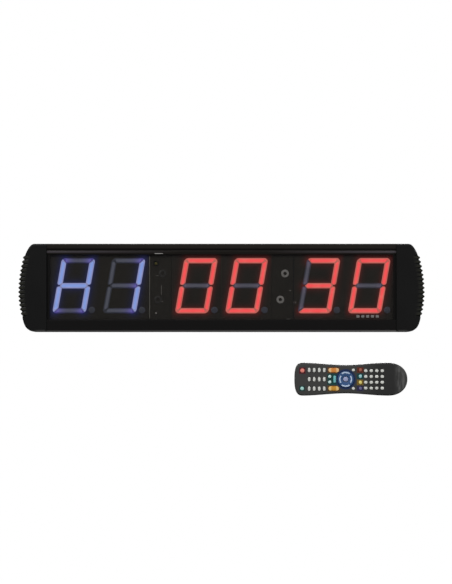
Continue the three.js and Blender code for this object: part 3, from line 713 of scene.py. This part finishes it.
def facePiece(name, low, high, centreX, centreZ, frontY, lit, reach):
    # a thin printed sheet whose points carry the halo
    columns = int((high.x - low.x) / digit["faceStep"])
    rows = int((high.z - low.z) / digit["faceStep"])
    x, z = np.meshgrid(np.linspace(low.x, high.x, columns), np.linspace(low.z, high.z, rows))
    front = np.stack([x, np.full_like(x, frontY), z], -1)
    back = front + [0, 0.12, 0]
    glow = segmentGlow(x - centreX, z - centreZ, lit, reach)
    return slab(name, front, back, 30, {"glow": glow})


def digitPieces(number, lit, light):
    node = f"digit_{number}_display"
    low, high = corners(node)
    centreX, windowZ = (low.x + high.x) / 2, (low.z + high.z) / 2
    centreZ = windowZ + digit["rise"]
    frontY, rootY = low.y - digit["standOff"], low.y + digit["root"]
    tag = light["slot"].split("_")[0]
    face = facePiece(f"digit_{number}_face", low, high, centreX, centreZ, low.y - 0.15, lit, light["reach"])
    fit(face, "timer", "display_face", looks[tag + " face"])
    for letter in "abcdefg":
        on = letter in lit
        name = f"digit_{number}_segment_{letter}"
        piece = segmentPiece(name, letter, centreX, centreZ, frontY, rootY, lit)
        fit(piece, "timer", light["slot"] if on else "unlit_segment", looks[tag + (" on" if on else " off")])
    r = digit["dotRadius"]
    profile = [[r, rootY], [r, frontY + 0.25], [r - 0.25, frontY + 0.05], [r * 0.72, frontY - 0.12],
               [r * 0.4, frontY - 0.25], [r * 0.12, frontY - 0.3]]
    dot = turned(f"digit_{number}_dot", profile, centreX + digit["dotX"], windowZ + digit["dotZ"])
    fit(dot, "timer", "unlit_segment", looks["grey off"])
    paint(node, looks["plain face"])


greyOff = {"halo": (0, 0, 0), "spill": (0, 0, 0)}
looks = {"blue face": printedFace("face beside blue", blueOn),
         "red face": printedFace("face beside red", redOn),
         "plain face": printedFace("plain face", greyOff), "grey off": unlitResin("grey resin", greyOff),
         "blue on": litResin("lit blue resin", blueOn), "red on": litResin("lit red resin", redOn),
         "blue off": unlitResin("resin beside blue", blueOn),
         "red off": unlitResin("resin beside red", redOn)}
for number, (lit, light) in enumerate(shown, 1):
    digitPieces(number, lit, light)
print("digits done")

colon = {"lamps": [(4.2, 26), (-4.2, -21)], "outer": 7.0, "inner": 3.1, "standOff": 0.5, "root": 1.3}
ringGrey = mouldedPlastic("pale ring resin", tint(206, 202, 196), 0.4, 500, 0.3)
dimRing = mouldedPlastic("dim ring resin", tint(86, 84, 80), 0.4, 500, 0.3)
lampAmber = mouldedPlastic("amber lamp resin", tint(150, 142, 84), 0.35, 400, 0.3)
lampGrey = mouldedPlastic("grey lamp resin", tint(156, 152, 148), 0.35, 400, 0.3)
# the pale bead is painted light, standing in for light showing through the gap between modules
seamGapLight = mouldedPlastic("pale seam bead painted as gap light", tint(182, 179, 168), 0.4, 400, 0.3)
seamDim = mouldedPlastic("dim seam bead", tint(62, 60, 62), 0.5, 400, 0.3)


def lampRing(name, x, z, frontY, backY, look):
    outer, inner = colon["outer"], colon["inner"]
    section = [[outer, backY], [outer, frontY + 0.5], [outer - 0.5, frontY + 0.1],
               [(outer + inner) / 2, frontY - 0.2], [inner + 0.4, frontY + 0.1], [inner, frontY + 0.6],
               [inner, backY], [outer, backY]]
    fit(turned(name, section, x, z), "timer", "unlit_segment", look)
    core = [[inner - 0.25, backY], [inner - 0.25, frontY + 0.9], [inner * 0.7, frontY + 0.7],
            [inner * 0.2, frontY + 0.6]]
    fit(turned(name + "_core", core, x, z, 32), "timer", "display_face", looks["plain face"])


for sideName, side in (("left", -1), ("right", 1)):
    node = f"colon_{sideName}_display"
    low, high = corners(node)
    centreX = (low.x + high.x) / 2
    look = ringGrey if side > 0 else dimRing
    for levelName, (x, z) in zip(("upper", "lower"), colon["lamps"]):
        name = f"colon_{sideName}_{levelName}"
        lampRing(name, centreX + x, z, low.y - colon["standOff"], low.y + colon["root"], look)
    paint(node, looks["plain face"])


def dome(name, x, z, radius, baseY, height, look, slotName):
    # an upright lamp: a short straight wall and a half-round top
    turn = np.linspace(0, np.pi / 2 - 0.12, 7)
    profile = [[radius, baseY]] + [[radius * np.cos(a), baseY - height - radius * np.sin(a)] for a in turn]
    return fit(turned(name, profile, x, z, 28), "timer", slotName, look)


receiver = middle("ir_receiver") / mm
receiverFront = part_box("ir_receiver")[0].y / mm
dome("receiver_eye", receiver.x, receiver.z, 3.0, receiverFront + 2.2, 0.6, lampAmber, "lamp_resin")
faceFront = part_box("colon_left_display")[0].y / mm
dome("indicator_lamp", receiver.x, -45.5, 1.9, faceFront + 0.4, 0.1, lampGrey, "lamp_resin")

# Beads that show between the modules: name, x, half width, look
seams = [("seam_bead_left", -129.6, 0.55, seamGapLight), ("seam_bead_right", 129.6, 0.42, seamDim),
         ("seam_bead_far_left", -221, 0.3, seamDim), ("seam_bead_far_right", 221, 0.3, seamDim)]
low, high = corners("digit_1_display")
for name, x, half, look in seams:
    bead = pillow(name, 2 * half, high.z - low.z - 6, half * 0.9, x, (high.z + low.z) / 2,
                  low.y - 0.45, low.y + 0.4, 0.15, 0.05, 4)
    fit(bead, "timer", "unlit_segment", look)

# Five small plain bars under the last digit, in place of any lettering
bars = {"count": 5, "x": 263.4, "z": -51.2, "pitch": 8.7, "width": 5.6, "height": 4.6}
barPrint = mouldedPlastic("pale grey print", tint(236, 232, 228), 0.6, 600, 0.2)
for i in range(bars["count"]):
    x = bars["x"] + (i - (bars["count"] - 1) / 2) * bars["pitch"]
    bar = pillow(f"status_bar_{i + 1}", bars["width"], bars["height"], 1.0, x, bars["z"],
                 faceFront - 0.35, faceFront + 0.1, 0.12, 0.03, 5)
    fit(bar, "timer", "unlit_segment", barPrint)

# Faint print on the faces beside the colons, each x, z, width, height, and a painted highlight: a pale glint
# on the rail over the receiver
faintPrint = mouldedPlastic("faint grey print", tint(156, 151, 145), 0.6, 600, 0.2)
railGlintPaint = mouldedPlastic("pale painted rail glint", tint(142, 140, 138), 0.5, 600, 0.2)
faintMarks = [(-115.4, 22, 5.6, 0.9), (-108.4, -4, 1.2, 17), (-111, -24.4, 2.6, 1.6),
              (-106.6, -24.4, 2.6, 1.6), (123.6, -4.6, 4.2, 1.4), (130.4, -26, 1.4, 3.4),
              (133.6, -26, 1.4, 3.4), (121, -56, 7, 0.9)]
for i, (x, z, width, height) in enumerate(faintMarks, 1):
    mark = pillow(f"face_mark_{i}", width, height, 0.45 * min(width, height), x, z,
                  faceFront - 0.3, faceFront + 0.1, 0.1, 0.02, 4)
    fit(mark, "timer", "unlit_segment", faintPrint)
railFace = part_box("top_rail")[0].y / mm
# a painted glint on the rail's lip, standing in for a reflection
glintMark = pillow("receiver_glint", 15, 1.5, 0.7, receiver.x + 5, 62.0,
              railFace - 0.12, railFace + 0.2, 0.1, 0.02, 5)
fit(glintMark, "timer", "black_aluminium", railGlintPaint)

# Inner pieces and fasteners keep their CAD shape, with rounded edges where they can be seen
board = circuitBoard("green circuit board")
for node in ("display_board_left", "display_board_middle", "display_board_right", "control_board",
             "remote_board"):
    paint(node, board)
blackScrew = brushedMetal("blackened steel", tint(62, 62, 62), 0.38)
plainScrew = brushedMetal("zinc plated steel", tint(176, 176, 170), 0.3)
nickelPlate = brushedMetal("polished nickel", tint(205, 203, 196), 0.22)
for kind, look, slotName in (("cap", blackScrew, "dark_screw"), ("rear", plainScrew, "steel_screw")):
    for sideName in ("left", "right"):
        for level in ("top", "bottom"):
            node = f"{kind}_screw_{sideName}_{level}"
            fit(softened(node, 0.12), "timer", slotName, look, node)
jackPlastic = mouldedPlastic("jack housing", tint(30, 30, 30), 0.45, 600)
cableGrey = siliconeRubber("grey ribbon", tint(150, 150, 152), 0.5)
clearResin = mouldedPlastic("tinted lamp resin", tint(92, 84, 112), 0.18, 300, 0.5, 0.05)
fit(softened("power_jack", 0.12), "timer", "black_plastic", jackPlastic, "power_jack")
fit(softened("buzzer", 0.3), "timer", "black_plastic", jackPlastic, "buzzer")
paint("backup_cell", nickelPlate)
paint("ribbon_cable", cableGrey)
paint("ir_receiver", clearResin)
paint("ir_emitter", clearResin)
print("inside of the timer done")


# Remote: two shells and a cover cut from one body, then the keys
handset = {"halfLength": 102, "halfHeight": 29.7, "halfWaist": 25.6, "waistX": -10, "easeLeft": 88,
           "easeRight": 68, "cornerLeft": 17, "cornerRight": 36, "seamY": -13.5, "frontY": -22.5,
           "edge": 3.0, "wall": 2.0, "plate": 1.8, "coverStart": 28, "cover": 2.7, "gap": 0.3, "points": 150}
shellLow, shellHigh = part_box("remote_top_shell")
remoteX = (shellLow.x + shellHigh.x) / 2 / mm
remoteZ = (shellLow.z + shellHigh.z) / 2 / mm


def handsetLoop(inset):
    # half height eases from the waist to both ends, then closes: flat-cornered left, round right
    half = handset["halfLength"] - inset
    x = -half * np.cos(np.linspace(0, np.pi, handset["points"]))
    waistX = handset["waistX"]
    reach = np.where(x < waistX, waistX + handset["easeLeft"], handset["easeRight"] - waistX)
    t = np.minimum(1, abs(x - waistX) / reach)
    ease = t * t * (3 - 2 * t)
    height = handset["halfWaist"] + (handset["halfHeight"] - handset["halfWaist"]) * ease - inset
    cornerLeft, cornerRight = handset["cornerLeft"] - inset, handset["cornerRight"] - inset
    left = np.clip((-x - (half - cornerLeft)) / cornerLeft, 0, 1)
    right = np.clip((x - (half - cornerRight)) / cornerRight, 0, 1)
    height = height * (1 - left ** 3.4) ** (1 / 2.6) * (1 - right ** 2.3) ** (1 / 2.1)
    return np.concatenate([np.stack([x, height], -1), np.stack([x, -height], -1)[-2:0:-1]])


def edgeSteps(edge, y, inward):
    # how far a rounded edge draws the outline in, and at what depth, from its rim to the straight side
    turns = np.linspace(0, np.pi / 2, 7) if edge else [np.pi / 2]
    return [(edge * (1 - np.sin(a)), y + inward * edge * (1 - np.cos(a))) for a in turns]


def handsetBody(name, frontY, backY, inset=0.0, frontEdge=0.0, backEdge=0.0):
    steps = edgeSteps(backEdge, backY, -1) + edgeSteps(frontEdge, frontY, 1)[::-1]
    return stack(name, [atY(handsetLoop(inset + more), y, remoteX, remoteZ) for more, y in steps], 40)


def boxPiece(name, x0, x1, y0, y1, z0, z1):
    # limits from the remote's centre in X and Z
    return stack(name, boxLoop(remoteX + x0, remoteX + x1, y0, y1, remoteZ + z0, remoteZ + z1))


def together(name, pieces):
    # one object from several that don't meet
    work = bmesh.new()
    for piece in pieces:
        work.from_mesh(piece.data)
        bpy.data.objects.remove(piece)
    mesh = bpy.data.meshes.new(name)
    work.to_mesh(mesh)
    work.free()
    joined = bpy.data.objects.new(name, mesh)
    bpy.context.scene.collection.objects.link(joined)
    return joined


keyGap = 0.35  # round each key in the plate
ringHoleRadius = 15.1
keyRounding = 0.44  # corner radius as a share of the shorter side
# Rows of four keys, with the width of a key
stripNodes = {"number_keys_top": 4.6, "number_keys_middle": 4.6, "number_keys_bottom": 4.6,
              "menu_keys_top": 6.0, "menu_keys_upper": 6.0, "menu_keys_lower": 6.0, "menu_keys_bottom": 6.0}
ovalKeys = ["power_key", "green_key", "orange_rocker", "amber_rocker", "teal_key_upper", "teal_key_lower",
            "teal_bar_key", "white_key_upper", "white_key_lower", "red_key", "cyan_key", "yellow_key",
            "blue_key"]


def keyPlaces(node, keyWidth):
    # the middles of a strip's four keys, and their width and height
    low, high = corners(node)
    columns = np.linspace(low.x + keyWidth / 2, high.x - keyWidth / 2, 4)
    return [(x, (low.z + high.z) / 2) for x in columns], keyWidth, high.z - low.z


def keyCutter(x, z, width, height):
    shorter = min(width, height)
    radius = min(keyRounding * shorter + keyGap, shorter / 2 + keyGap - 0.02)
    loop = roundedLoop(width + 2 * keyGap, height + 2 * keyGap, radius)
    back = handset["frontY"] + handset["plate"] + 1
    return stack("cutter", [atY(loop, back, x, z), atY(loop, handset["frontY"] - 1, x, z)])


def topShellPiece():
    frontY, seam = handset["frontY"], handset["seamY"] - handset["gap"]
    body = handsetBody("remote_top_moulding", frontY, seam, 0, handset["edge"])
    inside = handsetBody("inside", frontY + handset["plate"], seam + 2, handset["wall"], 1.5)
    cutters = []
    for node, width in stripNodes.items():
        places, w, h = keyPlaces(node, width)
        cutters += [keyCutter(x, z, w, h) for x, z in places]
    for node in ovalKeys:
        low, high = corners(node)
        cutters.append(keyCutter((low.x + high.x) / 2, (low.z + high.z) / 2, high.x - low.x, high.z - low.z))
    ring = middle("nav_ring") / mm
    deep = frontY + handset["plate"] + 1
    ringHole = [[0.001, deep], [ringHoleRadius, deep], [ringHoleRadius, frontY - 1], [0.001, frontY - 1]]
    cutters.append(turned("ring hole", ringHole, ring.x, ring.z, 64))
    eye = middle("ir_emitter") / mm
    eyeHole = turnedX("eye hole", [[0, remoteX - 104], [2.0, remoteX - 104], [2.0, remoteX - 96],
                                   [0, remoteX - 96]], 1, eye.y, eye.z)
    return cut(body, [inside, together("key holes", cutters), eyeHole])


def bottomShellPiece():
    seam, start = handset["seamY"], handset["coverStart"]
    raised = handset["cover"] + handset["gap"]
    body = handsetBody("remote_bottom_moulding", seam, 0, 0, 0, handset["edge"])
    deep = cut(handsetBody("deep", seam - 2, -handset["wall"], handset["wall"], 0, 1.5),
               [boxPiece("near", -120, start - 2, seam - 3, 1, -50, 50)], "INTERSECT")
    shallow = cut(handsetBody("shallow", seam - 2, -raised - 1.4, handset["wall"], 0, 1.0),
                  [boxPiece("far", start - 3, 120, seam - 3, 1, -50, 50)], "INTERSECT")
    coverRoom = boxPiece("cover room", start, 120, -raised, 1, -50, 50)
    mouth = boxPiece("bay mouth", 30, 80, -raised - 2.4, 1, -12, 12)
    return cut(body, [deep, shallow, coverRoom, mouth])


def coverPiece():
    body = handsetBody("battery_cover_moulding", handset["seamY"], 0, 0, 0, handset["edge"])
    start = handset["coverStart"] + handset["gap"]
    cut(body, [boxPiece("cover limits", start, 120, -handset["cover"], 1, -50, 50)], "INTERSECT")
    grips = []
    for i in range(5):
        loop = roundedLoop(1.3, 18 - 2.4 * i, 0.6, 6)
        x = remoteX + 72 + 3.2 * i
        grips.append(stack("grip", [atY(loop, 1, x, remoteZ), atY(loop, -0.6, x, remoteZ)]))
    return cut(body, [together("grips", grips)])


def zone(x, z, x0, x1, z0, z1, soft=0.5):
    # 1 inside a box in millimetres, fading over its soft rim
    return x.above(x0, soft) * x.below(x1 - soft, soft) * z.above(z0, soft) * z.below(z1 - soft, soft)


# Printed disc under the nav ring, from the remote's middle
navDisc = {"x": -9.7, "radius": 17.6}


def shellLook(name, zones):
    look = Look(name, specular=0.3)
    fine = look.noise(800, detail=2)
    slow = look.noise(25, detail=3)
    grey = tint(63, 63, 62)
    colour = look.mix(slow * 0.6 + fine * 0.4, lighter(grey, 0.8), lighter(grey, 1.2))
    if zones:
        x = (look.axis("X") - remoteX * mm) * 1000
        z = (look.axis("Z") - remoteZ * mm) * 1000
        front = look.axis("Y").below((handset["frontY"] + 0.6) * mm, 0.0003)
        # darker towards the right, then a streaky painted reflection over the rounded end
        colour = look.mix(x.above(0, 60) * 0.85, colour, tint(34, 34, 34))
        endReflectionStreaks = look.noise(230, (1, 1, 0.25), 4).above(0.42, 0.3)
        colour = look.mix(x.above(76, 14) * (endReflectionStreaks * 0.7 + 0.25), colour, tint(96, 96, 95))
        for (x0, x1, z0, z1), shade in zones:
            colour = look.mix(zone(x, z, x0, x1, z0, z1) * front, colour, shade)
        disc = ((x - navDisc["x"]) ** 2 + z ** 2) ** 0.5
        colour = look.mix(disc.below(navDisc["radius"], 1.2) * front, colour, tint(24, 44, 84))
    look.set(base=colour, roughness=slow * 0.15 + fine * 0.08 + 0.4)
    return look.bump(fine, 0.25, 0.00015)


padZones = [((-43, -24.2, -10.6, 10.6), tint(14, 66, 64)), ((-42.6, -20.2, 10.8, 21.8), tint(104, 62, 24)),
            ((-42.6, -20.2, -22.2, -11.2), tint(98, 66, 24)), ((10.4, 22.6, 11.6, 21.8), tint(98, 42, 26)),
            ((10.4, 22.6, 0.2, 10.6), tint(12, 66, 68)), ((10.4, 22.6, -10.8, -0.4), tint(122, 96, 30)),
            ((10.4, 22.6, -21.6, -11.4), tint(46, 42, 74)), ((-94, -82, 9.8, 21.6), tint(84, 22, 34)),
            ((-93.6, -83.4, -21.6, -11.6), tint(16, 58, 56))]
fit(topShellPiece(), "remote", "remote_shell", shellLook("remote top plastic with painted reflection", padZones), "remote_top_shell")
plainShell = shellLook("remote back plastic", [])
fit(bottomShellPiece(), "remote", "remote_shell", plainShell, "remote_bottom_shell")
fit(coverPiece(), "battery_cover", "remote_shell", plainShell, "battery_cover")
print("remote shells done")


# Keys: crowned silicone pads; those of a row share one web behind the plate
keyWhite = siliconeRubber("pale silicone", tint(224, 225, 219))
keyLooks = {"power_key": ("key_red", tint(242, 144, 130)), "green_key": ("key_green", tint(178, 228, 220)),
            "orange_rocker": ("key_orange", tint(248, 202, 144)),
            "amber_rocker": ("key_amber", tint(244, 206, 132)),
            "teal_key_upper": ("key_teal", tint(208, 238, 234)),
            "teal_key_lower": ("key_teal", tint(208, 238, 234)),
            "teal_bar_key": ("key_teal", tint(120, 196, 200)), "red_key": ("key_red", tint(172, 100, 82)),
            "cyan_key": ("key_cyan", tint(162, 216, 220)), "yellow_key": ("key_yellow", tint(246, 228, 130)),
            "blue_key": ("key_blue", tint(112, 108, 150))}
rockerMiddles = {"orange_rocker": tint(224, 142, 66), "amber_rocker": tint(208, 148, 50)}
pad = {"proud": 0.1, "edge": 0.8, "crown": 0.35}
rowWeb = {"height": 2.4, "radius": 0.6, "frontY": -19.7, "backY": -18.3}


def keyLook(node, colour):
    look = siliconeRubber(node.replace("_", " ") + " silicone", colour)
    if node in rockerMiddles:
        # the print round the middle is deeper than at the two pressing ends
        x = abs(look.axis("X") - middle(node).x) * 1000
        base = look.shader.inputs["Base Color"].links[0].from_socket
        look.set(base=look.mix(x.below(3.4, 2.4), base, rockerMiddles[node]))
    return look


def keyPad(name, node, x, width, radius):
    low, high = corners(node)
    return pillow(name, width, high.z - low.z, radius, x, (low.z + high.z) / 2, low.y - pad["proud"], high.y,
                  pad["edge"], pad["crown"])


for node in ovalKeys:
    slotName, colour = keyLooks.get(node, ("key_white", None))
    look = keyLook(node, colour) if colour else keyWhite
    low, high = corners(node)
    width = high.x - low.x
    radius = (keyRounding + 0.03) * min(width, high.z - low.z)
    fit(keyPad(node + "_pad", node, (low.x + high.x) / 2, width, radius), node, slotName, look, node)

for node, width in stripNodes.items():
    places, w, h = keyPlaces(node, width)
    low, high = corners(node)
    web = pillow(node + "_web", high.x - low.x - w, rowWeb["height"], rowWeb["radius"], (low.x + high.x) / 2,
                 (low.z + high.z) / 2, rowWeb["frontY"], rowWeb["backY"], 0.3, 0.05, 5)
    fit(web, node, "key_white", keyWhite, node)
    radius = (0.48 if w < 5 else 0.42) * min(w, h)
    for i, (x, z) in enumerate(places, 1):
        fit(keyPad(f"{node}_{i}", node, x, w, radius), node, "key_white", keyWhite)

navCentre = middle("nav_ring") / mm
navBlue = siliconeRubber("blue silicone", tint(52, 86, 134))
arcBlue = siliconeRubber("pale blue print", tint(198, 216, 240))
ringTop = [[5.9, -23.0], [8, -23.35], [10.6, -23.7], [12.6, -23.95], [13.5, -23.98], [14.2, -23.7],
           [14.6, -23.1]]
ringSection = [[5.4, -18.0], [5.4, -22.6], *ringTop, [14.6, -18.6], [14.1, -18.0], [5.4, -18.0]]
ring = turned("nav_ring_pad", ringSection, navCentre.x, navCentre.z, 72)
fit(ring, "nav_ring", "nav_blue", navBlue, "nav_ring")
okSection = [[4.5, -18.0], [4.5, -23.0], [4.3, -23.5], [3.8, -23.9], [2.9, -24.15], [1.6, -24.28],
             [0.5, -24.32]]
okLook = siliconeRubber("lavender silicone", tint(166, 174, 210))
fit(turned("ok_key_pad", okSection, navCentre.x, navCentre.z, 40), "ok_key", "key_white", okLook, "ok_key")


def arcMark(name, middleAngle, halfAngle, inner, outer):
    # a ribbon round the ring: angle along it, radius across it
    angle = np.radians(np.linspace(middleAngle - halfAngle, middleAngle + halfAngle, 22))[:, None]
    radius = np.linspace(inner, outer, 6)[None, :]
    y = np.interp(radius, [p[0] for p in ringTop], [p[1] for p in ringTop]) - 0.1
    x, z = navCentre.x + radius * np.cos(angle), navCentre.z + radius * np.sin(angle)
    grid = np.stack([x, y + 0 * angle, z], -1)
    return slab(name, grid, grid + [0, 0.4, 0])


for name, angle, halfAngle, inner, outer in (("right", 0, 36, 9.4, 11.6), ("up", 90, 34, 11.2, 13.5),
                                              ("left", 180, 36, 9.4, 11.6), ("down", 270, 34, 11.2, 13.5)):
    fit(arcMark(f"nav_mark_{name}", angle, halfAngle, inner, outer), "nav_ring", "nav_blue", arcBlue)


jacketBandX = 64


def jacketLook(name):
    # a printed film: dark body and a pale band at the nub's end
    look = Look(name, specular=0.5, coat=0.3)
    x = (look.axis("X") - remoteX * mm) * 1000
    wear = look.noise(200)
    band = x.above(jacketBandX, 0.3)
    colour = look.mix(wear, tint(36, 52, 72), tint(44, 62, 86))
    colour = look.mix(band, colour, tint(196, 148, 70))
    look.set(base=colour, roughness=wear * 0.15 + 0.25)
    return look.bump(wear, 0.05, 0.0001)


for node in ("battery_upper", "battery_lower"):
    fit(softened(node, 0.4, 3), "remote", "cell_jacket", jacketLook(node.replace("_", " ") + " film"), node)
print("keys done")


# Plain pale floor, soft light, white surround. A light is its place, aim, size and watts
studio = {"floorDrop": 0.9, "floorSize": 13, "surround": 1.0, "fill": 0.22}
lights = {"key light": ((-1.6, -2.2, 2.4), (0, 0, 0), (2.0, 1.6), 84),
          "fill light": ((2.2, -1.8, 1.2), (0.1, 0, -0.1), (1.6, 1.6), 34),
          "back light": ((0.6, 2.8, 1.0), (0, 0, 0), (2.4, 1.4), 70)}


def addFloor():
    z = (cadBox[0].z - studio["floorDrop"]) / mm
    half = studio["floorSize"] / 2 / mm
    x, y = np.meshgrid(np.linspace(-half, half, 9), np.linspace(-half, half, 9))
    grid = np.stack([x, y, z + 0 * x], -1)
    floor = slab("floor", grid, grid - [0, 0, 10])
    look = Look("pale floor", roughness=0.9, specular=0.1)
    cloud = look.noise(1.5)
    look.set(base=look.mix(cloud, (0.88, 0.88, 0.88), (0.93, 0.93, 0.93)), roughness=cloud * 0.1 + 0.8)
    look.set(emission=(1.0, 1.0, 1.0), strength=0.82)
    floor.data.materials.append(look.material)
    floor.visible_diffuse = False
    floor.visible_glossy = False


def addLight(name, place, aim, size, watts):
    lamp = bpy.data.lights.new(name, "AREA")
    lamp.shape = "RECTANGLE"
    lamp.size, lamp.size_y = size
    lamp.energy = watts
    holder = bpy.data.objects.new(name, lamp)
    holder.location = place
    holder.rotation_mode = "QUATERNION"
    holder.rotation_quaternion = (Vector(aim) - Vector(place)).to_track_quat("-Z", "Y")
    bpy.context.scene.collection.objects.link(holder)


def addSurround():
    # white to the camera, softer as a light
    world = bpy.data.worlds.new("surround")
    world.use_nodes = True
    tree = world.node_tree
    background = tree.nodes["Background"]
    path = tree.nodes.new("ShaderNodeLightPath")
    level = tree.nodes.new("ShaderNodeMapRange")
    level.inputs["To Min"].default_value = studio["fill"]
    level.inputs["To Max"].default_value = studio["surround"]
    tree.links.new(path.outputs["Is Camera Ray"], level.inputs["Value"])
    tree.links.new(level.outputs["Result"], background.inputs["Strength"])
    background.inputs["Color"].default_value = (1, 1, 1, 1)
    bpy.context.scene.world = world


addFloor()
addSurround()
for name, setting in lights.items():
    addLight(name, *setting)
bpy.context.scene.view_settings.view_transform = "Standard"
print("studio done")
